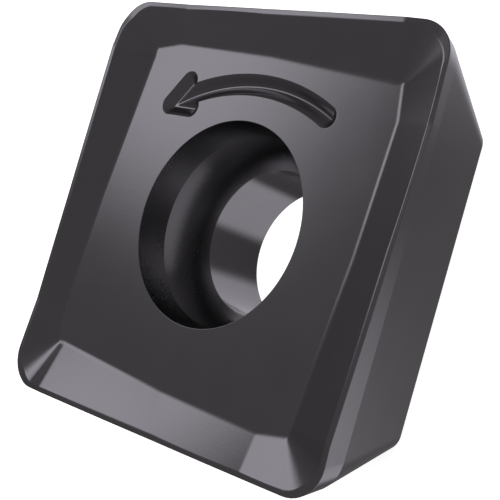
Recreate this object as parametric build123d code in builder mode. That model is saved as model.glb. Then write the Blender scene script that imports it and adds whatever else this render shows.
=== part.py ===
"""Square indexable milling insert in coated carbide: four cutting edges, one clamping-screw hole.

Axes: the screw hole runs along +Z through the origin, the seat face lies on Z = 0 and the
rake face with its chip groove looks up. Dimensions are in millimetres, angles in degrees.

One cutting edge is drawn on the +Y side. It runs from the nose at its -X end along the wiper
edge and the long edge to the next nose; the other three edges are quarter turns of it.
"""

from math import atan2, cos, degrees, radians, sin
import os

from build123d import *

os.makedirs("parts", exist_ok=True)

# Cutting-edge outline, seen along the hole
edge_square = 12.7  # across two opposite wiper edges
nose_radius = 1.05
wiper_length = 1.6
edge_taper = 1.19  # the long edge runs inward from the wiper edge's line
end_facet_length = 0.53  # short falling facet between the long edge and the next nose

# Heights along the edge
nose_height = 5.0  # above the seat face
wiper_drop = 0.10  # lowest point of the edge, below the noses
edge_rise = 0.10  # far end of the long edge, above the noses

# Flanks
seat_inset = 1.575  # in from the edge square, each side
seat_corner_radius = 0.50
belt_height = 4.24  # where the ground flank meets the body's relief
belt_inset = 0.255  # in from the edge square, each side
belt_corner_radius = 0.98

# Chip groove
land_width = 0.16
floor_depth = 0.314  # below the noses
floor_corner_x = 1.47  # floor corner, in from the square it would fill
floor_corner_y = 1.91
floor_corner_radius = 0.10
end_facet_foot = 0.16
wiper_slope_run = 1.22  # slope width at the end of the wiper edge
middle_slope_run = 1.37  # slope width at the middle of the edge
middle_lead = 0.20  # bend of the floor outline, past the middle of the edge
slope_bend_lead = -0.20  # bend of the land outline, past the middle of the edge
floor_blend = 0.70  # rounding between the floor and its slopes

# Screw hole, depths below the chip-groove floor
mouth_diameter = 6.05
throat_diameter = 5.75
throat_depth = 0.95
bore_diameter = 4.5
bore_depth = 2.35
screw_seat_radius = 4.0  # convex rounding of the seat for the screw head

# Direction-of-feed arrow, engraved in the floor
arrow_width = 0.635
arrow_depth = 0.21
arrow_flat = 0.05  # width of the groove bottom
arrow_arc_radius = 6.4
arrow_tip = (-3.24, 3.26)
arrow_tail = (2.81, 3.41)
barb_length = 0.88
barb_spread = 28

half = edge_square / 2
top = nose_height + 2 * edge_rise
floor_height = nose_height - floor_depth
taper_cos, taper_sin = cos(radians(edge_taper)), sin(radians(edge_taper))

# Nose centres: tangent to the wiper edge's line and to the tapered long edge
nose_x = half - nose_radius
nose_y = (half * taper_cos - nose_radius - (nose_x - wiper_length) * taper_sin) / (taper_cos + taper_sin)


def along_long_edge(x, inset=0.0, z=0.0):
    """Point of the long edge's line at x, moved inward from it by inset."""
    wiper_end_x = wiper_length - nose_y
    return Vector(x, half - (x - wiper_end_x) * taper_sin / taper_cos - inset / taper_cos, z)


edge_end_x = nose_x + nose_radius * taper_sin
long_edge_end_x = edge_end_x - end_facet_length * taper_cos
level_x = nose_x + (nose_radius - 2 * land_width) * sin(radians(45))

# Edge heights over x: level at the nose, down the wiper edge, up the long edge, back to level
edge_heights = [
    (-edge_square, nose_height),
    (-nose_y, nose_height),
    (wiper_length - nose_y, nose_height - wiper_drop),
    (long_edge_end_x, nose_height + edge_rise),
    (level_x, nose_height),
    (edge_square, nose_height),
]


def edge_height(x):
    """Height of the cutting edge over x, between the corners of its profile."""
    for (x0, z0), (x1, z1) in zip(edge_heights, edge_heights[1:]):
        if x <= x1:
            return z0 + (z1 - z0) * (x - x0) / (x1 - x0)
    return nose_height


def carried(foot, through, z):
    """Point at height z on the straight line from foot through another point."""
    return foot + (through - foot) * ((z - foot.Z) / (through.Z - foot.Z))


def four_sided_face(side, corner_turn=90):
    """Face inside one side's points, their quarter turns, and arcs that turn by corner_turn."""
    with BuildLine(Plane.XY.offset(side[0].Z)) as outline:
        run = Polyline(*[(p.X, p.Y) for p in side])
        next_start = side[0].rotate(Axis.Z, -90)
        corner_radius = (next_start - side[-1]).length / 2 / sin(radians(corner_turn / 2))
        corner = RadiusArc((side[-1].X, side[-1].Y), (next_start.X, next_start.Y), corner_radius)
        for turn in (90, 180, 270):
            add(run.rotate(Axis.Z, turn))
            add(corner.rotate(Axis.Z, turn))
    return Face(outline.wire())


def rounded_square(inset, radius, z, *splits):
    """Points of one side of a rounded square, split where the edge above it bends."""
    reach = half - inset
    return [Vector(x, reach, z) for x in (radius - reach, *splits, reach - radius)]


# Outline of the edge and of the belt below it, point for point
edge_side = [Vector(-nose_y, half, nose_height)]
for x in (wiper_length - nose_y, long_edge_end_x, edge_end_x):
    edge_side.append(along_long_edge(x, z=edge_height(x)))
belt_side = rounded_square(
    belt_inset, belt_corner_radius, belt_height, wiper_length - nose_y, long_edge_end_x
)
top_side = [carried(foot, edge, top) for foot, edge in zip(belt_side, edge_side)]

with BuildPart() as relief:
    loft(
        [
            four_sided_face(rounded_square(seat_inset, seat_corner_radius, 0)),
            four_sided_face(rounded_square(belt_inset, belt_corner_radius, belt_height)),
        ],
        ruled=True,
    )

with BuildPart() as ground_flank:
    loft(
        [four_sided_face(belt_side), four_sided_face(top_side, 90 - edge_taper)],
        ruled=True,
    )

# The crown carries the edge heights, one quarter per edge, mitred through the noses
nose_reach = nose_radius * sin(radians(45))
nose_middle = Vector(nose_x + nose_reach, nose_y + nose_reach)
with BuildPart() as crown_quarter:
    with BuildSketch(Plane.XZ):
        with BuildLine():
            Polyline(*edge_heights, (edge_square, 0), (-edge_square, 0), close=True)
        make_face()
    extrude(amount=-edge_square)
    with BuildSketch():
        with BuildLine():
            Polyline((0, 0), nose_middle * 2, nose_middle.rotate(Axis.Z, 90) * 2, close=True)
        make_face()
    extrude(amount=top * 2, mode=Mode.INTERSECT)

# Floor outline and the land's inner outline, point for point
floor_centre = Vector(half - floor_corner_x, half - floor_corner_y, floor_height)
floor_start = floor_centre.rotate(Axis.Z, 90) + Vector(0, floor_corner_radius)
floor_end = floor_centre + Vector(taper_sin, taper_cos) * floor_corner_radius
floor_side = [
    floor_start,
    Vector(wiper_length - nose_y, half - wiper_slope_run, floor_height),
    Vector(middle_lead, half - middle_slope_run, floor_height),
    floor_end + Vector(-taper_cos, taper_sin) * end_facet_foot,
    floor_end,
]
land_side = [Vector(-nose_y, half - land_width, nose_height)]
for x in (wiper_length - nose_y, slope_bend_lead, long_edge_end_x, edge_end_x - land_width * taper_sin):
    land_side.append(along_long_edge(x, land_width, edge_height(x)))
groove_side = [carried(foot, land, top) for foot, land in zip(floor_side, land_side)]

with BuildPart() as groove:
    loft(
        [four_sided_face(floor_side, 90 - edge_taper), four_sided_face(groove_side, 90 - edge_taper)],
        ruled=True,
    )
    fillet(groove.faces().sort_by(Axis.Z)[0].edges(), floor_blend)

# Screw hole: slightly tapered mouth, rounded seat for the screw head, straight bore
mouth_radius, throat_radius, bore_radius = (d / 2 for d in (mouth_diameter, throat_diameter, bore_diameter))
mouth_flare = (mouth_radius - throat_radius) / throat_depth
throat = (throat_radius, floor_height - throat_depth)
bore_top = (bore_radius, floor_height - bore_depth)
with BuildPart() as hole:
    with BuildSketch(Plane.XZ):
        with BuildLine():
            mouth = (mouth_radius + mouth_flare * floor_depth, nose_height)
            Polyline(throat, mouth, (0, nose_height), (0, 0), (bore_radius, 0), bore_top)
            RadiusArc(bore_top, throat, screw_seat_radius)
        make_face()
    revolve(axis=Axis.Z)

with BuildPart() as insert:
    add(relief.part)
    add(ground_flank.part)
    with BuildPart(mode=Mode.INTERSECT) as crown:
        for turn in range(4):
            add(crown_quarter.part.rotate(Axis.Z, 90 * turn))
    add(groove.part, mode=Mode.SUBTRACT)
    add(hole.part, mode=Mode.SUBTRACT)

    # Arrow: three grooves with a narrow flat bottom and round ends, meeting at the tip
    arrow_taper = degrees(atan2((arrow_width - arrow_flat) / 2, arrow_depth))
    shaft = RadiusArc(arrow_tip, arrow_tail, arrow_arc_radius)
    shaft_angle = degrees(atan2((shaft % 0).Y, (shaft % 0).X))
    for side in (0, 1, -1):
        with BuildSketch(Plane.XY.offset(floor_height)):
            if side:
                angle = radians(shaft_angle + side * barb_spread)
                reach = Vector(cos(angle), sin(angle)) * barb_length
                SlotCenterPoint(Vector(*arrow_tip) + reach / 2, arrow_tip, arrow_width)
            else:
                SlotArc(shaft, arrow_width)
        extrude(amount=-arrow_depth, taper=arrow_taper, mode=Mode.SUBTRACT)
insert.part.label = "insert"
export_step(insert.part, "parts/insert.step")
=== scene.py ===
"""Square indexable milling insert in dark coated carbide, dressed for rendering.

The insert is one closed surface. Its cross-section, from the bore over the chip groove, the
cutting edge, the flanks and the seat face back to the bore, is carried once round the screw
hole. Lengths in the classes are millimetres and angles radians, unless a docstring says
otherwise; meshes are handed over in metres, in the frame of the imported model.
"""

from __future__ import annotations

import logging
from dataclasses import dataclass, field
from enum import Enum
from math import asin, cos, pi, radians, sin, tan

import bpy
import numpy as np
from mathutils import Matrix, Vector


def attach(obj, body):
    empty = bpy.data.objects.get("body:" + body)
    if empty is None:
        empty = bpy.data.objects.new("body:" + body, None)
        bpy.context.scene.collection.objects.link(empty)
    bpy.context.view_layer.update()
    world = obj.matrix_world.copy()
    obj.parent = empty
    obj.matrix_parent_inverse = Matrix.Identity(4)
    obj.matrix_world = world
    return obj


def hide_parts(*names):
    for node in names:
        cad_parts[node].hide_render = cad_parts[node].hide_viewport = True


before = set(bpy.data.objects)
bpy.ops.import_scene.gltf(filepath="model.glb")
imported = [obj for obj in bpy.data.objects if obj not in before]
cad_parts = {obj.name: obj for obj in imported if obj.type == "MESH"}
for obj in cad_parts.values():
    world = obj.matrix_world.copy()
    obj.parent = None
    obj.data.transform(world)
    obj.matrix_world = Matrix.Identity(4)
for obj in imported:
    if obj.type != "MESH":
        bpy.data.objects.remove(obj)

METRES = 0.001
STRETCHES = 5  # four straight stretches and one corner on each side of an outline
SIDES = 4

log = logging.getLogger("insert")


class Face(Enum):
    """Kind of face: as pressed, ground, or pressed and sheltered in the screw hole.

    For each kind but the first the mesh has an attribute named like it, which is 1 on such faces
    and 0 elsewhere.
    """

    PRESSED = "pressed"
    GROUND = "ground"
    SHELTERED = "sheltered"


# ---------------------------------------------------------------- outlines in plan


@dataclass(frozen=True)
class Outline:
    """Closed four-sided outline in plan, with points as complex numbers x + iy.

    Only the +Y side is given, as five points from left to right. The three other sides are
    its quarter turns, and an arc that turns by corner_turn joins each side to the next.
    """

    side: np.ndarray
    corner_turn: float = pi / 2

    def at(self, station: np.ndarray) -> np.ndarray:
        """Points of the outline, running clockwise.

        A station counts stretches: its whole part names the side and the stretch, and its
        fraction is the share of that stretch. A straight stretch is a straight blend of its
        two ends; a corner turns its first point about the arc's centre.

        Args:
            station: Values from 0 to SIDES times STRETCHES.

        Returns:
            Complex points, one for each station.
        """
        side, along = np.divmod(station, STRETCHES)
        stretch = np.clip(along.astype(int), 0, STRETCHES - 1)
        share = along - stretch
        following = np.minimum(stretch + 1, STRETCHES - 1)
        straight = self.side[stretch] + share * (self.side[following] - self.side[stretch])
        chord = self.side[0] * -1j - self.side[-1]
        centre = self.side[-1] + chord / 2 * (1 - 1j / tan(self.corner_turn / 2))
        arc = centre + (self.side[-1] - centre) * np.exp(-1j * self.corner_turn * share)
        return np.where(stretch < STRETCHES - 1, straight, arc) * (-1j) ** side


def placed(plan: np.ndarray, height: np.ndarray | float) -> np.ndarray:
    """Points in space from plan points and heights, as one (..., 3) array."""
    return np.stack([plan.real, plan.imag, np.broadcast_to(height, plan.shape)], axis=-1)


def eased(values: np.ndarray, reach: int = 6) -> np.ndarray:
    """Running mean over the neighbouring columns, all the way round."""
    return np.mean([np.roll(values, shift) for shift in range(-reach, reach + 1)], axis=0)


def detour(share: np.ndarray) -> np.ndarray:
    """Length of a slanting way over its width: one over the share that goes across, at most 2."""
    return 1 / np.clip(share, 0.5, 1)


# ---------------------------------------------------------------- the ground form


@dataclass
class CuttingEdge:
    """Closed cutting edge: nose, wiper edge, tapered long edge and a short end facet, four times."""

    square: float = 12.7
    nose_radius: float = 1.05
    wiper_length: float = 1.6
    taper: float = radians(1.19)
    end_facet_length: float = 0.53
    nose_height: float = 5.0
    wiper_drop: float = 0.10
    rise: float = 0.10
    land_width: float = 0.16
    land_bend_x: float = -0.20

    def __post_init__(self) -> None:
        """Work out the nose centre and the ends of the stretches."""
        half = self.square / 2
        taper_cos, taper_sin = cos(self.taper), sin(self.taper)
        self.nose_x = half - self.nose_radius
        fall = (self.nose_x - self.wiper_length) * taper_sin
        self.nose_y = (half * taper_cos - self.nose_radius - fall) / (taper_cos + taper_sin)
        self.wiper_end_x = self.wiper_length - self.nose_y
        self.edge_end_x = self.nose_x + self.nose_radius * taper_sin
        self.facet_x = self.edge_end_x - self.end_facet_length * taper_cos
        self.level_x = self.nose_x + (self.nose_radius - 2 * self.land_width) * sin(pi / 4)
        self.top = self.nose_height + 2 * self.rise

    @property
    def turn(self) -> float:
        """Angle through which a nose turns, seen from above."""
        return pi / 2 - self.taper

    def height(self, plan: np.ndarray, side: np.ndarray) -> np.ndarray:
        """Height of edge and land: straight runs between the bends of the edge, side by side.

        Args:
            plan: Complex points.
            side: Number of the side that each point belongs to.

        Returns:
            Heights over the seat face.
        """
        x = (plan * 1j**side).real
        bends = (-self.nose_y, self.wiper_end_x, self.facet_x, self.level_x)
        heights = (0.0, -self.wiper_drop, self.rise, 0.0)
        return self.nose_height + np.interp(x, bends, heights)

    def long_edge(self, x: float, inset: float = 0.0) -> complex:
        """Point of the long edge's line at x, moved inward by inset."""
        fall = (x - self.wiper_end_x) * tan(self.taper) + inset / cos(self.taper)
        return complex(x, self.square / 2 - fall)

    def outline(self, inset: float = 0.0) -> Outline:
        """Edge outline, or the line at a distance inside it.

        Args:
            inset: Distance inside the edge.

        Returns:
            Outline with the edge's bends.
        """
        last_x = self.edge_end_x - inset * sin(self.taper)
        points = [complex(-self.nose_y, self.square / 2 - inset)]
        points += [
            self.long_edge(x, inset) for x in (self.wiper_end_x, self.land_bend_x, self.facet_x, last_x)
        ]
        return Outline(np.array(points), self.turn)


@dataclass
class Flanks:
    """Ground flank under the edge, and the body's relief down to the seat face."""

    belt_height: float = 4.24
    belt_inset: float = 0.255
    belt_corner_radius: float = 0.98
    seat_inset: float = 1.575
    seat_corner_radius: float = 0.50

    def rounded_square(self, edge: CuttingEdge, inset: float, radius: float) -> Outline:
        """Rounded square whose side is split in proportion to the edge above it.

        Args:
            edge: The cutting edge above.
            inset: Distance of the sides inside the edge square.
            radius: Corner radius.

        Returns:
            Outline whose points pair with those of the edge.
        """
        reach = edge.square / 2 - inset
        belt_end = edge.square / 2 - self.belt_inset - self.belt_corner_radius
        splits = np.array([-belt_end, edge.wiper_end_x, edge.land_bend_x, edge.facet_x, belt_end])
        return Outline(splits / belt_end * (reach - radius) + 1j * reach)

    def belt(self, edge: CuttingEdge) -> Outline:
        """Outline where the ground flank meets the relief."""
        return self.rounded_square(edge, self.belt_inset, self.belt_corner_radius)

    def seat(self, edge: CuttingEdge) -> Outline:
        """Outline of the seat face."""
        return self.rounded_square(edge, self.seat_inset, self.seat_corner_radius)


@dataclass
class ChipGroove:
    """Flat floor and the slopes that rise from it to the land."""

    depth: float = 0.314
    corner: complex = 1.47 + 1.91j
    corner_radius: float = 0.10
    end_foot: float = 0.16
    wiper_run: float = 1.22
    middle_run: float = 1.37
    middle_x: float = 0.20
    blend_radius: float = 0.70

    def floor(self, edge: CuttingEdge) -> Outline:
        """Outline of the floor, at the sharp meeting line with its slopes.

        Args:
            edge: The cutting edge above.

        Returns:
            Outline whose points pair with those of the land.
        """
        half = edge.square / 2
        centre = complex(half, half) - self.corner
        along = np.exp(-1j * edge.taper)
        end = centre + 1j * along * self.corner_radius
        points = [
            centre * 1j + 1j * self.corner_radius,
            complex(edge.wiper_end_x, half - self.wiper_run),
            complex(self.middle_x, half - self.middle_run),
            end - along * self.end_foot,
            end,
        ]
        return Outline(np.array(points), edge.turn)


@dataclass
class ScrewHole:
    """Screw hole: tapered mouth, convex seat for the screw head and straight bore."""

    mouth_radius: float = 3.025
    throat_radius: float = 2.875
    throat_depth: float = 0.95
    bore_radius: float = 2.25
    bore_depth: float = 2.35
    seat_radius: float = 4.0

    def seat_corner(self) -> tuple[float, float]:
        """Radius and depth of the point where the tangents at both ends of the seat's arc meet.

        It lies off the middle of the arc's chord, by half the chord times the tangent of half
        the arc's turn.

        Returns:
            The radius, and the depth below the chip groove's floor.
        """
        low = complex(self.bore_radius, -self.bore_depth)
        half_chord = (complex(self.throat_radius, -self.throat_depth) - low) / 2
        corner = low + half_chord * (1 + 1j * tan(asin(abs(half_chord) / self.seat_radius)))
        return corner.real, -corner.imag


@dataclass
class FeedArrow:
    """Direction-of-feed arrow: three grooves of one section that meet at the tip."""

    width: float = 0.635
    depth: float = 0.21
    flat: float = 0.05
    arc_centre: complex = -0.05 - 2.30j
    arc_radius: float = 6.4
    tip: complex = -3.24 + 3.26j
    tail: complex = 2.81 + 3.41j
    barbs: tuple[complex, complex] = (-2.72 + 4.00j, -2.375 + 3.245j)
    easing: float = 0.20

    def sunk(self, plan: np.ndarray) -> np.ndarray:
        """Depth below the floor.

        The distance to a stroke's centre line is that to its nearest point: on the arc for the
        shaft, on a straight line for a barb, and always between the stroke's two ends. The
        nearest stroke counts. Depth falls from the flat bottom to nothing at half the groove's
        width, which gives sloping walls and conical ends; a sine wave taken off the even fall
        eases the walls at their foot and lip.

        Args:
            plan: Complex points on the floor.

        Returns:
            Depths, zero outside the arrow.
        """
        arm = plan - self.arc_centre
        first, last = np.angle(self.tail - self.arc_centre), np.angle(self.tip - self.arc_centre)
        bearing = np.clip(np.angle(arm), first, last)
        distance = np.abs(arm - self.arc_radius * np.exp(1j * bearing))
        for end in self.barbs:
            stroke = end - self.tip
            share = np.clip(((plan - self.tip) * stroke.conjugate()).real / abs(stroke) ** 2, 0, 1)
            distance = np.minimum(distance, np.abs(plan - self.tip - share * stroke))
        fall = (self.width / 2 - distance) / (self.width / 2 - self.flat / 2)
        fall = np.clip(fall, 0, 1)
        return self.depth * (fall - self.easing * np.sin(2 * pi * fall) / (2 * pi))


# ---------------------------------------------------------------- the carried section


@dataclass(frozen=True)
class Bend:
    """One corner of the section, all the way round the insert.

    Attributes:
        points: Corner points, one for each column.
        radius: Rounding radius.
        rows: Number of steps in the rounding.
        guard: Length of the flat step on either side that keeps the flats flat.
        skew: Factor on the rounding's reach before and after the corner.
        half_turn: Half the angle between the faces, where the columns cross the corner aslant.
        faces: How the faces before and after the corner were made.
    """

    points: np.ndarray
    radius: float
    rows: int = 3
    guard: float = 0.015
    skew: tuple[np.ndarray | float, np.ndarray | float] = (1.0, 1.0)
    half_turn: np.ndarray | None = None
    faces: tuple[Face, Face] = (Face.PRESSED, Face.PRESSED)

    def rounded(self, before: np.ndarray, after: np.ndarray) -> np.ndarray:
        """Rows of points round this corner.

        The rounding touches both neighbouring flats at the radius times the tangent of half the
        turn. Between them it is a rational quadratic curve with the corner as its middle point
        and the cosine of half the turn as its weight, which is a true arc.

        Args:
            before: The previous corner of the section, one point for each column.
            after: The next corner.

        Returns:
            Array of rows by columns by three.
        """
        back, ahead = before - self.points, after - self.points
        back /= np.linalg.norm(back, axis=-1, keepdims=True)
        ahead /= np.linalg.norm(ahead, axis=-1, keepdims=True)
        half_turn = self.half_turn
        if half_turn is None:
            half_turn = np.arccos(np.clip(-(back * ahead).sum(-1), -1, 1)) / 2
        reach = self.radius * np.tan(half_turn)
        start = self.points + back * (reach * self.skew[0])[:, None]
        end = self.points + ahead * (reach * self.skew[1])[:, None]
        t = np.linspace(0, 1, self.rows + 1)[:, None, None]
        weight = 2 * t * (1 - t) * np.cos(half_turn)[None, :, None]
        curve = ((1 - t) ** 2 * start + weight * self.points + t**2 * end) / (
            (1 - t) ** 2 + weight + t**2
        )
        guards = start + back * self.guard, end + ahead * self.guard
        return np.concatenate([guards[0][None], curve, guards[1][None]])


@dataclass
class InsertBody:
    """The whole insert as one surface: columns round the hole, rows along the section.

    Attributes:
        edge: The cutting edge.
        flanks: The flanks below it.
        groove: The chip groove inside it.
        hole: The screw hole.
        arrow: The engraved arrow.
        hone: Rounding radius of the cutting edge.
        ridge_radius: Rounding radius between the land and the slopes.
        blend_room: Width kept free along the floor's outline for its rounding.
        rim_room: Width kept free round the hole's mouth for its rounding.
        seat_trim: Taken off the seat's radius, so that its rounding ends short of its neighbours.
        columns: Steps of each stretch of a side.
        bend_step: Distance of the two columns that hold each bend of the outline, in stations.
        column_gap: Least distance of an even column from a fine one, in stations.
        fine_step: Distance of neighbouring columns and rows at the arrow.
        fine_radius: Radius at which the fine columns have that distance.
        crease_gap: Least distance of a row from a crease of the shaft, in fine steps.
        band_reach: Where the rows beside the arrow's shaft begin and end, from its centre line.
        margin: Share of the floor's width that the evenly spaced rows leave free at each end.
        shaft_sector: Bearings between which the rows follow the shaft.
        head_sector: Bearings of the fine columns at the head.
        tail_sector: Bearings of the fine columns at the tail.
        fade: Angle over which the rows leave the shaft.
        lip_room: Distance outside the shaft's lip where the squeezed rows begin.
        squeeze: Share of their distance that the rows farther out keep.
        squeeze_end: Bearing from which they get it back.
        name: Name of the piece.
    """

    edge: CuttingEdge = field(default_factory=CuttingEdge)
    flanks: Flanks = field(default_factory=Flanks)
    groove: ChipGroove = field(default_factory=ChipGroove)
    hole: ScrewHole = field(default_factory=ScrewHole)
    arrow: FeedArrow = field(default_factory=FeedArrow)
    hone: float = 0.020
    ridge_radius: float = 0.15
    blend_room: float = 0.13
    rim_room: float = 0.03
    seat_trim: float = 0.2
    columns: tuple[int, ...] = (12, 22, 30, 6, 12)
    bend_step: float = 0.02
    column_gap: float = 0.01
    fine_step: float = 0.016
    fine_radius: float = 4.6
    crease_gap: float = 0.45
    band_reach: tuple[float, float] = (-0.74, 0.81)
    margin: float = 0.1
    shaft_sector: tuple[float, float] = (radians(44), radians(140.5))
    head_sector: tuple[float, float] = (radians(119.8), radians(139.4))
    tail_sector: tuple[float, float] = (radians(46.0), radians(51.8))
    fade: float = radians(9)
    lip_room: float = 0.02
    squeeze: float = 0.5
    squeeze_end: float = radians(109)
    name: str = "carbide_insert"

    def stations(self) -> np.ndarray:
        """Stations of the columns: evenly over each stretch, and finely where the arrow's ends lie.

        The fine columns are spaced by bearing, which a close ladder of stations turns back into
        stations. Even columns that crowd a fine one go, apart from those on a bend.

        Returns:
            Rising stations, once round the insert.
        """
        one_side = np.concatenate([k + np.arange(n) / n for k, n in enumerate(self.columns)])
        near_bends = np.arange(1, STRETCHES)[:, None] + np.array([-self.bend_step, self.bend_step])
        even = np.concatenate([one_side, near_bends.ravel()])
        even = (even[None] + STRETCHES * np.arange(SIDES)[:, None]).ravel()
        ladder = np.linspace(0, SIDES * STRETCHES, 40001)
        bearing = np.unwrap(np.angle(self.groove.floor(self.edge).at(ladder)))
        fine = []
        for low, high in (self.head_sector, self.tail_sector):
            steps = np.arange(low, high, self.fine_step / self.fine_radius)
            steps = bearing[0] - np.mod(bearing[0] - steps, 2 * pi)
            fine.append(np.interp(-steps, -bearing, ladder))
        fine = np.concatenate(fine)
        gap = np.abs(even[:, None] - fine[None]).min(1)
        between_bends = ~np.isclose(even, np.round(even), rtol=0, atol=1e-9)
        crowded = (gap < self.column_gap) & between_bends
        return np.unique(np.concatenate([even[~crowded], fine]))

    def ruled(self, foot: Outline, foot_height: float, rim: Outline, station: np.ndarray) -> np.ndarray:
        """Where straight lines that rise from one outline through another meet the crown.

        The five points of the upper outline fix the lines of a ruled surface, which is blended
        between them at equal stations. A few rounds of height, share along the line and new
        height settle on the crown.

        Args:
            foot: Lower outline.
            foot_height: Its height.
            rim: Outline on the crown, whose bends the ruled surface passes through.
            station: Stations of the columns.

        Returns:
            One point for each column.
        """
        edge = self.edge
        rise = edge.height(rim.side, np.zeros(STRETCHES)) - foot_height
        carried = foot.side + (rim.side - foot.side) * (edge.top - foot_height) / rise
        head = Outline(carried, rim.corner_turn).at(station)
        base = foot.at(station)
        side = np.floor_divide(station, STRETCHES)
        plan = head
        for _ in range(6):
            height = edge.height(plan, side)
            plan = base + (head - base) * (height - foot_height) / (edge.top - foot_height)
        return placed(plan, edge.height(plan, side))

    def band_offsets(self) -> np.ndarray:
        """Distances of the band's rows from the shaft's centre line, with its creases among them.

        Returns:
            Rising distances, in even steps but for the creases.
        """
        creases = np.array([self.arrow.width / 2, self.arrow.flat / 2])
        creases = np.concatenate([-creases, creases])
        even = np.arange(*self.band_reach, self.fine_step)
        gap = np.abs(even[:, None] - creases[None]).min(1)
        even = even[gap > self.fine_step * self.crease_gap]
        return np.sort(np.concatenate([even, creases]))

    def band(self, bearing: np.ndarray, inner: np.ndarray, outer: np.ndarray) -> np.ndarray:
        """Rows across the floor between the hole and the slopes.

        Beside the arrow a row is a circle about the centre of the shaft's arc, met by the ray
        of each column: the ray's length is its dot product with the centre plus the root of
        what is left of the row's radius. Elsewhere the rows divide the floor evenly.

        Args:
            bearing: Angle of each column's ray.
            inner: Radius where the rows may begin.
            outer: Radius where they have to end.

        Returns:
            Array of rows by columns by three.
        """
        offset = self.band_offsets()[:, None]
        even = (offset - offset[0]) / (offset[-1] - offset[0])
        even = inner + (outer - inner) * (self.margin + (1 - 2 * self.margin) * even)
        low, high = self.shaft_sector
        turned = np.mod(bearing - (low + high) / 2 + pi, 2 * pi) - pi
        beyond = np.clip((np.abs(turned) - (high - low) / 2) / self.fade, 0, 1)
        held = 1 - beyond**2 * (3 - 2 * beyond)
        lip = self.arrow.width / 2 + self.lip_room
        slack = np.clip((bearing - self.squeeze_end) / self.fade, 0, 1)
        kept = self.squeeze + (1 - self.squeeze) * slack
        squeezed = np.where(offset > lip, lip + (offset - lip) * kept, offset)
        centre = self.arrow.arc_centre
        dot = (np.exp(-1j * bearing) * centre).real
        reach = self.arrow.arc_radius + squeezed
        root = np.sqrt(np.maximum(dot**2 - abs(centre) ** 2 + reach**2, 0))
        radius = even + (dot + root - even) * held
        plan = radius * np.exp(1j * bearing)
        floor = self.edge.nose_height - self.groove.depth
        return placed(plan, floor - self.arrow.sunk(plan))

    def rows(self) -> tuple[np.ndarray, dict[str, np.ndarray]]:
        """Section at every column, with the floor's band between the mouth and the slopes.

        The rounding of the floor's outline takes its angle from the slope's rise over its run
        straight across the outline, because the columns cross the outline aslant.

        Returns:
            Points as an array of rows by columns by three, and masks of the rows by the name of
            their face.
        """
        edge, groove, hole = self.edge, self.groove, self.hole
        station = self.stations()
        floor_line = groove.floor(edge)
        floor_height = edge.nose_height - groove.depth
        foot = floor_line.at(station)
        ray = foot / np.abs(foot)
        belt, seat = self.flanks.belt(edge), self.flanks.seat(edge)

        floor_edge = placed(foot, floor_height)
        ridge = self.ruled(floor_line, floor_height, edge.outline(edge.land_width), station)
        cutting_edge = self.ruled(belt, self.flanks.belt_height, edge.outline(), station)
        belt_line = placed(belt.at(station), self.flanks.belt_height)
        seat_line = placed(seat.at(station), 0.0)

        corner_radius, corner_depth = hole.seat_corner()
        bore_foot = placed(ray * hole.bore_radius, 0.0)
        bore_head = placed(ray * hole.bore_radius, floor_height - hole.bore_depth)
        seat_middle = placed(ray * corner_radius, floor_height - corner_depth)
        throat_line = placed(ray * hole.throat_radius, floor_height - hole.throat_depth)
        mouth_line = placed(ray * hole.mouth_radius, floor_height)

        along = np.roll(foot, -1) - np.roll(foot, 1)
        across = 1j * along / np.abs(along)
        inward = detour(np.abs((ray * across.conjugate()).real))
        slope = ridge - floor_edge
        run = np.abs(((slope[:, 0] + 1j * slope[:, 1]) * across.conjugate()).real)
        outward = detour(np.hypot(run, slope[:, 2]) / np.linalg.norm(slope, axis=1))
        blend = {
            "radius": groove.blend_radius,
            "skew": (eased(inward), eased(outward)),
            "half_turn": eased(np.arctan2(slope[:, 2], run) / 2),
        }

        pressed, ground, sheltered = Face.PRESSED, Face.GROUND, Face.SHELTERED
        bends = [
            Bend(bore_foot, radius=0.03),
            Bend(bore_head, radius=0.05, guard=0.01, faces=(pressed, sheltered)),
            Bend(
                seat_middle,
                hole.seat_radius - self.seat_trim,
                rows=24,
                guard=0.004,
                faces=(sheltered, sheltered),
            ),
            Bend(throat_line, radius=0.02, faces=(sheltered, sheltered)),
            Bend(mouth_line, radius=0.007, rows=2, guard=0.008, faces=(sheltered, pressed)),
            Bend(floor_edge, rows=10, guard=0.02, **blend),
            Bend(ridge, self.ridge_radius, rows=5, guard=0.012),
            Bend(cutting_edge, self.hone, rows=5, guard=0.008, faces=(ground, ground)),
            Bend(belt_line, radius=0.02, faces=(ground, pressed)),
            Bend(seat_line, radius=0.04),
        ]
        parts, faces = [], []
        for k, bend in enumerate(bends):
            before, after = bends[k - 1].points, bends[(k + 1) % len(bends)].points
            parts.append(bend.rounded(before, after))
            faces.append(bend.faces)
            if bend.points is mouth_line:
                inner = hole.mouth_radius + self.rim_room
                outer = np.abs(foot) - self.blend_room * inward
                parts.append(self.band(np.angle(foot), inner, outer))
                faces.append((pressed, pressed))
        masks = {}
        for made in (ground, sheltered):
            ends = [(before is made, after is made) for before, after in faces]
            shares = [np.linspace(*pair, len(part)) for pair, part in zip(ends, parts)]
            masks[made.value] = np.concatenate(shares)
        return np.concatenate(parts), masks

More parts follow.
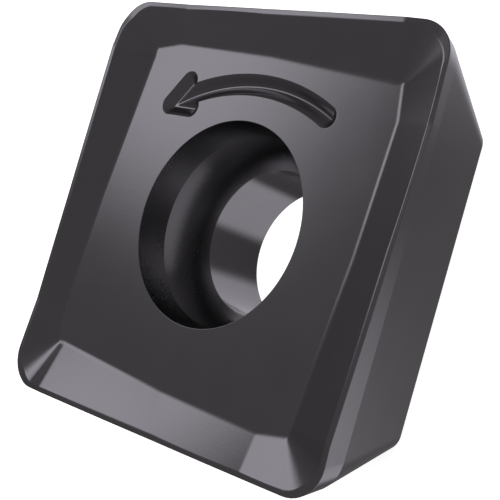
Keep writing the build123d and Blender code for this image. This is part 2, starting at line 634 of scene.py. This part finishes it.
    def build(self) -> bpy.types.Object:
        """Mesh of the insert: four neighbouring points of the grid make a face, and both ways close.

        Returns:
            The piece, with its place in its mesh.
        """
        points, masks = self.rows()
        height, width = points.shape[:2]
        index = np.arange(height * width).reshape(height, width)
        up, on = np.roll(index, -1, axis=0), np.roll(index, -1, axis=1)
        both = np.roll(up, -1, axis=1)
        quads = np.stack([index, on, both, up], axis=-1).reshape(-1, 4)
        mesh = bpy.data.meshes.new(self.name)
        mesh.from_pydata((points.reshape(-1, 3) * METRES).tolist(), [], quads.tolist())
        for name, rows in masks.items():
            mask = mesh.attributes.new(name, "FLOAT", "POINT")
            mask.data.foreach_set("value", np.repeat(rows, width).astype(np.float32))
        mesh.shade_smooth()
        mesh.set_sharp_from_angle(angle=radians(40))
        piece = bpy.data.objects.new(self.name, mesh)
        bpy.context.scene.collection.objects.link(piece)
        return piece


# ---------------------------------------------------------------- nodes


@dataclass
class Wiring:
    """Short way of adding and joining nodes in one tree."""

    tree: bpy.types.NodeTree

    def join(self, start: bpy.types.NodeSocket, end: bpy.types.NodeSocket) -> None:
        """Link two sockets."""
        self.tree.links.new(start, end)

    def feed(self, socket: bpy.types.NodeSocket, value: object) -> None:
        """Link a socket to another one, or set it to a constant.

        Args:
            socket: The input to feed.
            value: Socket or constant.
        """
        if isinstance(value, bpy.types.NodeSocket):
            self.join(value, socket)
        else:
            socket.default_value = value

    def add(self, kind: str, **inputs: object) -> bpy.types.Node:
        """Add a node and feed its inputs.

        Args:
            kind: Blender's name for the node.
            inputs: Sockets or constants by the input's name.

        Returns:
            The node.
        """
        node = self.tree.nodes.new(kind)
        for name, value in inputs.items():
            self.feed(node.inputs[name], value)
        return node

    def group(self, group: bpy.types.NodeTree, **inputs: object) -> bpy.types.Node:
        """Add a node group and feed its inputs.

        Args:
            group: The group.
            inputs: Sockets or constants by the input's name.

        Returns:
            The node that holds the group.
        """
        node = self.tree.nodes.new("ShaderNodeGroup")
        node.node_tree = group
        for name, value in inputs.items():
            self.feed(node.inputs[name], value)
        return node

    def math(self, operation: str, *values: object) -> bpy.types.NodeSocket:
        """Number worked out from others.

        Args:
            operation: Blender's name for the operation.
            values: Sockets or constants.

        Returns:
            Socket with the result.
        """
        node = self.tree.nodes.new("ShaderNodeMath")
        node.operation = operation
        for socket, value in zip(node.inputs, values):
            self.feed(socket, value)
        return node.outputs[0]

    def dot(self, first: object, second: object) -> bpy.types.NodeSocket:
        """Dot product of two vectors.

        Args:
            first: Socket or constant.
            second: Socket or constant.

        Returns:
            Socket with the number.
        """
        node = self.tree.nodes.new("ShaderNodeVectorMath")
        node.operation = "DOT_PRODUCT"
        self.feed(node.inputs[0], first)
        self.feed(node.inputs[1], second)
        return node.outputs["Value"]

    def scaled(self, first: object, second: object, third: object = (0, 0, 0)) -> bpy.types.NodeSocket:
        """First vector times the second, channel by channel, plus the third.

        Args:
            first: Socket or constant.
            second: Socket or constant.
            third: Socket or constant.

        Returns:
            Socket with the vector.
        """
        node = self.tree.nodes.new("ShaderNodeVectorMath")
        node.operation = "MULTIPLY_ADD"
        for socket, value in zip(node.inputs, (first, second, third)):
            self.feed(socket, value)
        return node.outputs["Vector"]

    def smooth(
        self, value: object, low: object, high: object, start: float, end: float
    ) -> bpy.types.NodeSocket:
        """Smooth step from one number to another.

        Args:
            value: Socket with the value that steers it.
            low: Value below which it stays at the start.
            high: Value above which it stays at the end.
            start: Number below the step.
            end: Number above the step.

        Returns:
            Socket with the number.
        """
        node = self.tree.nodes.new("ShaderNodeMapRange")
        node.interpolation_type = "SMOOTHSTEP"
        for name, fed in (("Value", value), ("From Min", low), ("From Max", high)):
            self.feed(node.inputs[name], fed)
        node.inputs["To Min"].default_value = start
        node.inputs["To Max"].default_value = end
        return node.outputs["Result"]

    def attribute(self, name: str) -> bpy.types.NodeSocket:
        """Value of a mesh attribute.

        Args:
            name: Name of the attribute.

        Returns:
            Socket with the value.
        """
        node = self.add("ShaderNodeAttribute")
        node.attribute_name = name
        return node.outputs["Fac"]

    def noise(self, place: object, scale: float, detail: float = 2.0) -> bpy.types.NodeSocket:
        """Soft noise of the given fineness, around one half."""
        return self.add("ShaderNodeTexNoise", Vector=place, Scale=scale, Detail=detail).outputs[0]

    def ramp(self, value: object, stops: list[tuple[float, float]]) -> bpy.types.NodeSocket:
        """Grey level that runs straight from stop to stop.

        Args:
            value: Socket with the place on the ramp, from 0 to 1.
            stops: Places and levels, in rising order of place.

        Returns:
            Socket with the colour.
        """
        node = self.tree.nodes.new("ShaderNodeValToRGB")
        elements = node.color_ramp.elements
        while len(elements) < len(stops):
            elements.new(0.5)
        for element, (position, level) in zip(elements, stops):
            element.position = position
            element.color = (level, level, level, 1)
        self.feed(node.inputs[0], value)
        return node.outputs["Color"]

    def mixed(self, share: object, first: object, second: object) -> bpy.types.NodeSocket:
        """Blend of two colours.

        Args:
            share: Share of the second one.
            first: Socket or constant.
            second: Socket or constant.

        Returns:
            Socket with the colour.
        """
        node = self.tree.nodes.new("ShaderNodeMix")
        node.data_type = "RGBA"
        sockets = {socket.identifier: socket for socket in node.inputs}
        for name, value in (("Factor_Float", share), ("A_Color", first), ("B_Color", second)):
            self.feed(sockets[name], value)
        return node.outputs[2]


def new_group(name: str, inputs: dict[str, str], outputs: dict[str, str]) -> bpy.types.NodeTree:
    """Empty node group with the named sockets.

    Args:
        name: Name of the group.
        inputs: Kind of each input, by name: Float, Vector or Color.
        outputs: Kind of each output, by name.

    Returns:
        The group, with its two end nodes in place.
    """
    tree = bpy.data.node_groups.new(name, "ShaderNodeTree")
    for way, sockets in (("INPUT", inputs), ("OUTPUT", outputs)):
        for label, kind in sockets.items():
            tree.interface.new_socket(label, in_out=way, socket_type=f"NodeSocket{kind}")
    tree.nodes.new("NodeGroupInput")
    tree.nodes.new("NodeGroupOutput")
    return tree


def soft_rectangle() -> bpy.types.NodeTree:
    """Node group: mask of a rectangle with soft edges on a plane, seen along a direction.

    The direction's parts across and up are divided by its part towards the plane. That gives the
    point where it meets the plane one unit away, which is compared with the rectangle.

    Returns:
        The group.
    """
    inputs = dict.fromkeys(("Direction", "Facing", "Across", "Up", "Middle", "Reach"), "Vector")
    tree = new_group("soft_rectangle", {**inputs, "Softness": "Float"}, {"Mask": "Float"})
    wiring = Wiring(tree)
    given = tree.nodes["Group Input"].outputs
    ahead = wiring.dot(given["Direction"], given["Facing"])
    mask = wiring.math("GREATER_THAN", ahead, 0.001)
    middle = wiring.add("ShaderNodeSeparateXYZ", Vector=given["Middle"]).outputs
    reach = wiring.add("ShaderNodeSeparateXYZ", Vector=given["Reach"]).outputs
    for axis, name in enumerate(("Across", "Up")):
        along = wiring.math("DIVIDE", wiring.dot(given["Direction"], given[name]), ahead)
        away = wiring.math("ABSOLUTE", wiring.math("SUBTRACT", along, middle[axis]))
        low = wiring.math("SUBTRACT", reach[axis], given["Softness"])
        high = wiring.math("ADD", reach[axis], given["Softness"])
        mask = wiring.math("MULTIPLY", mask, wiring.smooth(away, low, high, 1.0, 0.0))
    wiring.join(mask, tree.nodes["Group Output"].inputs["Mask"])
    return tree


# ---------------------------------------------------------------- finishes


@dataclass(frozen=True)
class CoatedCarbide:
    """Dark hard coating with a soft gloss over pressed and ground carbide.

    Attributes:
        name: Name of the material.
        thin: Colour where the coating is thin.
        thick: Colour where it is thick.
        patches: Patches of coating thickness for each millimetre.
        grain: Grains of the pressed surface for each millimetre.
        lines: Grinding lines for each millimetre of height, and their drift along the edge.
        relief: Depth of the grain in metres.
        roughness: Lowest roughness.
        haze: Added to it from the clearest patch to the dullest.
        grain_haze: Added to it from grain to grain.
        ground_haze: Added to it on the ground faces.
        sheltered_haze: Added to it on the wall and seat of the screw hole.
    """

    name: str = "coated_carbide"
    thin: tuple[float, float, float] = (0.249, 0.245, 0.252)
    thick: tuple[float, float, float] = (0.275, 0.271, 0.276)
    patches: float = 0.8
    grain: float = 22.0
    lines: tuple[float, float] = (55.0, 1.5)
    relief: float = 1.0e-6
    roughness: float = 0.10
    haze: float = 0.04
    grain_haze: float = 0.03
    ground_haze: float = 0.015
    sheltered_haze: float = 0.13

    def build(self) -> bpy.types.Material:
        """Node material of the coating.

        The pressed faces carry an even grain. On the ground faces it gives way to fine lines
        parallel to the cutting edge, which are the same noise pressed flat along the height.

        Returns:
            The material.
        """
        material = bpy.data.materials.new(self.name)
        material.use_nodes = True
        wiring = Wiring(material.node_tree)
        shader = wiring.tree.nodes["Principled BSDF"].inputs
        place = wiring.scaled(wiring.add("ShaderNodeTexCoord").outputs["Object"], (1 / METRES,) * 3)
        ground = wiring.attribute(Face.GROUND.value)
        sheltered = wiring.attribute(Face.SHELTERED.value)
        fine, drift = self.lines
        lines = wiring.noise(wiring.scaled(place, (drift, drift, fine)), scale=1.0)
        texture = wiring.mixed(ground, wiring.noise(place, self.grain, detail=3.0), lines)
        patches = wiring.noise(place, self.patches)

        wiring.join(wiring.mixed(patches, (*self.thin, 1), (*self.thick, 1)), shader["Base Color"])
        dulled = wiring.math("MULTIPLY_ADD", patches, self.haze, self.roughness)
        dulled = wiring.math("MULTIPLY_ADD", texture, self.grain_haze, dulled)
        dulled = wiring.math("MULTIPLY_ADD", ground, self.ground_haze, dulled)
        dulled = wiring.math("MULTIPLY_ADD", sheltered, self.sheltered_haze, dulled)
        wiring.join(dulled, shader["Roughness"])
        bump = wiring.add("ShaderNodeBump", Distance=self.relief, Height=texture)
        wiring.join(bump.outputs["Normal"], shader["Normal"])
        shader["Metallic"].default_value = 1.0
        return material


# ---------------------------------------------------------------- the studio


class Ray(Enum):
    """Kinds of ray that the studio treats differently, by the names of their node outputs."""

    CAMERA = "Is Camera Ray"
    GLOSSY = "Is Glossy Ray"
    SHADOW = "Is Shadow Ray"


@dataclass(frozen=True)
class SoftPanel:
    """Luminous rectangle with soft edges, infinitely far away.

    Attributes:
        azimuth: Degrees from +X towards +Y of the plane that it lies on.
        elevation: Degrees above the floor of the plane that it lies on.
        reach: Half width and half height on that plane, one unit away.
        softness: Half the width of its soft edges.
        radiance: Light added inside the edges, where a white room is 1.
        middle: Its middle on the plane.
        colour: Tint of the light.
    """

    azimuth: float
    elevation: float
    reach: tuple[float, float]
    softness: float
    radiance: float
    middle: tuple[float, float] = (0.0, 0.0)
    colour: tuple[float, float, float] = (1.0, 0.98, 1.07)

    def axes(self) -> tuple[Vector, Vector, Vector]:
        """Directions of the plane that the panel lies on.

        Returns:
            Unit vectors towards the plane, along the panel's width and along its height.
        """
        turn, lift = radians(self.azimuth), radians(self.elevation)
        facing = Vector((cos(turn) * cos(lift), sin(turn) * cos(lift), sin(lift)))
        across = Vector((-sin(turn), cos(turn), 0.0))
        return facing, across, facing.cross(across)


@dataclass(frozen=True)
class Lamp:
    """Square lamp that lights the floor and is not mirrored in the insert.

    Attributes:
        name: Name of the lamp.
        azimuth: Degrees from +X towards +Y.
        elevation: Degrees above the floor.
        size: Width in metres.
        power: Power in watts.
        distance: Distance from the insert in metres.
    """

    name: str
    azimuth: float
    elevation: float
    size: float
    power: float
    distance: float = 0.6

    def build(self) -> None:
        """Hang the lamp so that it faces the insert."""
        data = bpy.data.lights.new(self.name, "AREA")
        data.size = self.size
        data.energy = self.power
        lamp = bpy.data.objects.new(self.name, data)
        turn, lift = radians(self.azimuth), radians(self.elevation)
        away = Vector((cos(turn) * cos(lift), sin(turn) * cos(lift), sin(lift)))
        lamp.location = away * self.distance
        lamp.rotation_euler = away.to_track_quat("Z", "Y").to_euler()
        lamp.visible_glossy = False
        bpy.context.scene.collection.objects.link(lamp)


@dataclass
class Studio:
    """Pale floor, soft panels all round, lamps for the floor, and the camera.

    Attributes:
        eye: Place of the camera in metres.
        roll: Its turn, as an axis times an angle.
        focal_pixels: Focal length in pixels of the frame.
        frame_pixels: Width of the frame.
        floor_half: Half the floor's width in metres.
        floor_colour: Colour of the floor.
        floor_glow: Light that the floor adds for the camera.
        room_light: Level of the room's light by the height of its direction, from -1 to 1.
        room_tint: Tint of that light.
        panels: Key light, its halo, two wide panels below the horizon and one low over +X.
        lamps: Lamps for the floor.
    """

    eye: tuple[float, float, float] = (0.0231158, -0.0027361, 0.0287477)
    roll: tuple[float, float, float] = (2.76424, 0.36069, -1.04322)
    focal_pixels: float = 1188.957
    frame_pixels: float = 500.0
    floor_half: float = 2.0
    floor_colour: tuple[float, float, float] = (0.5, 0.5, 0.5)
    floor_glow: float = 0.87
    room_light: tuple[tuple[float, float], ...] = (
        (-1.0, 0.140),
        (-0.75, 0.105),
        (-0.68, 0.180),
        (-0.30, 0.180),
        (0.0, 0.090),
        (0.31, 0.104),
        (0.50, 0.124),
        (0.87, 0.150),
        (1.0, 0.138),
    )
    room_tint: tuple[float, float, float] = (1.02, 0.965, 1.01)
    panels: tuple[SoftPanel, ...] = (
        SoftPanel(
            azimuth=152.0,
            elevation=42.3,
            reach=(0.147, 0.105),
            softness=0.075,
            radiance=0.87,
            middle=(0.130, 0.0),
        ),
        SoftPanel(
            azimuth=152.0,
            elevation=42.0,
            reach=(0.55, 0.26),
            softness=0.30,
            radiance=0.035,
        ),
        SoftPanel(
            azimuth=-10.0,
            elevation=-90.0,
            reach=(0.924, 0.910),
            softness=0.14,
            radiance=0.60,
            middle=(-0.876, 0.990),
        ),
        SoftPanel(
            azimuth=0.0,
            elevation=-90.0,
            reach=(0.84, 0.94),
            softness=0.15,
            radiance=0.58,
            middle=(1.16, -0.56),
        ),
        SoftPanel(
            azimuth=0.0,
            elevation=12.0,
            reach=(1.6, 0.42),
            softness=0.30,
            radiance=0.30,
        ),
    )
    lamps: tuple[Lamp, ...] = (
        Lamp("overhead", azimuth=0.0, elevation=80.0, size=0.35, power=3.0),
        Lamp("side", azimuth=92.0, elevation=45.0, size=0.25, power=1.5),
    )

    def camera(self) -> None:
        """Camera above the +X side, rolled so that the +Y side is at the top."""
        data = bpy.data.cameras.new("camera")
        data.sensor_width = 36.0
        data.lens = self.focal_pixels / self.frame_pixels * data.sensor_width
        data.clip_start = 0.001
        camera = bpy.data.objects.new("camera", data)
        angle = float(np.linalg.norm(self.roll))
        world_to_view = Matrix.Rotation(angle, 3, Vector(self.roll) / angle)
        turn = world_to_view.transposed() @ Matrix.Diagonal((1, -1, -1))
        camera.matrix_world = Matrix.Translation(self.eye) @ turn.to_4x4()
        bpy.context.scene.collection.objects.link(camera)
        bpy.context.scene.camera = camera

    def floor(self) -> None:
        """Pale floor that glows white to the camera and takes shadows.

        The insert mirrors the soft panels below the horizon and not the floor, so the floor
        lets its glossy and shadow rays through.
        """
        half = self.floor_half
        corners = [(-half, -half, 0), (half, -half, 0), (half, half, 0), (-half, half, 0)]
        mesh = bpy.data.meshes.new("floor")
        mesh.from_pydata(corners, [], [(0, 1, 2, 3)])
        floor = bpy.data.objects.new("floor", mesh)
        bpy.context.scene.collection.objects.link(floor)
        material = bpy.data.materials.new("floor")
        material.use_nodes = True
        wiring = Wiring(material.node_tree)
        diffuse = wiring.add("ShaderNodeBsdfDiffuse", Color=(*self.floor_colour, 1))
        path = wiring.add("ShaderNodeLightPath").outputs
        seen = wiring.math("MULTIPLY", path[Ray.CAMERA.value], self.floor_glow)
        glow = wiring.add("ShaderNodeEmission", Strength=seen)
        both = wiring.add("ShaderNodeAddShader")
        wiring.join(diffuse.outputs[0], both.inputs[0])
        wiring.join(glow.outputs[0], both.inputs[1])
        through = wiring.math("MAXIMUM", path[Ray.GLOSSY.value], path[Ray.SHADOW.value])
        mix = wiring.add("ShaderNodeMixShader", Fac=through)
        wiring.join(both.outputs[0], mix.inputs[1])
        wiring.join(wiring.add("ShaderNodeBsdfTransparent").outputs[0], mix.inputs[2])
        wiring.join(mix.outputs[0], wiring.tree.nodes["Material Output"].inputs["Surface"])
        mesh.materials.append(material)

    def room(self) -> None:
        """World: even light by height, the soft panels added to it, and white for the camera."""
        world = bpy.data.worlds.new("room")
        world.use_nodes = True
        wiring = Wiring(world.node_tree)
        way = wiring.add("ShaderNodeTexCoord").outputs["Generated"]
        height = wiring.add("ShaderNodeSeparateXYZ", Vector=way).outputs["Z"]
        share = wiring.math("MULTIPLY_ADD", height, 0.5, 0.5)
        ramp = wiring.ramp(share, [((z + 1) / 2, level) for z, level in self.room_light])
        light = wiring.scaled(ramp, self.room_tint)
        group = soft_rectangle()
        for panel in self.panels:
            facing, across, up = panel.axes()
            mask = wiring.group(
                group,
                Direction=way,
                Facing=facing,
                Across=across,
                Up=up,
                Middle=(*panel.middle, 0),
                Reach=(*panel.reach, 0),
                Softness=panel.softness,
            )
            strength = tuple(panel.radiance * tint for tint in panel.colour)
            light = wiring.scaled(mask.outputs["Mask"], strength, light)
        path = wiring.add("ShaderNodeLightPath").outputs
        shown = wiring.mixed(path[Ray.CAMERA.value], light, (1, 1, 1, 1))
        wiring.join(shown, world.node_tree.nodes["Background"].inputs["Color"])
        bpy.context.scene.world = world

    def build(self) -> None:
        """Put up the whole studio."""
        self.camera()
        self.floor()
        self.room()
        for lamp in self.lamps:
            lamp.build()
        bpy.context.scene.view_settings.view_transform = "Standard"


def main() -> None:
    """Build the insert and the studio, and log how many faces, soft panels and lamps they have."""
    logging.basicConfig(level=logging.INFO, format="%(message)s")
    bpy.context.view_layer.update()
    insert = InsertBody().build()
    insert.data.materials.append(CoatedCarbide().build())
    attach(insert, "root")
    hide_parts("insert")
    log.info("%s: %d faces of four sides", insert.name, len(insert.data.polygons))
    studio = Studio()
    studio.build()
    log.info("studio: %d soft panels, %d lamps", len(studio.panels), len(studio.lamps))


if __name__ == "__main__":
    main()
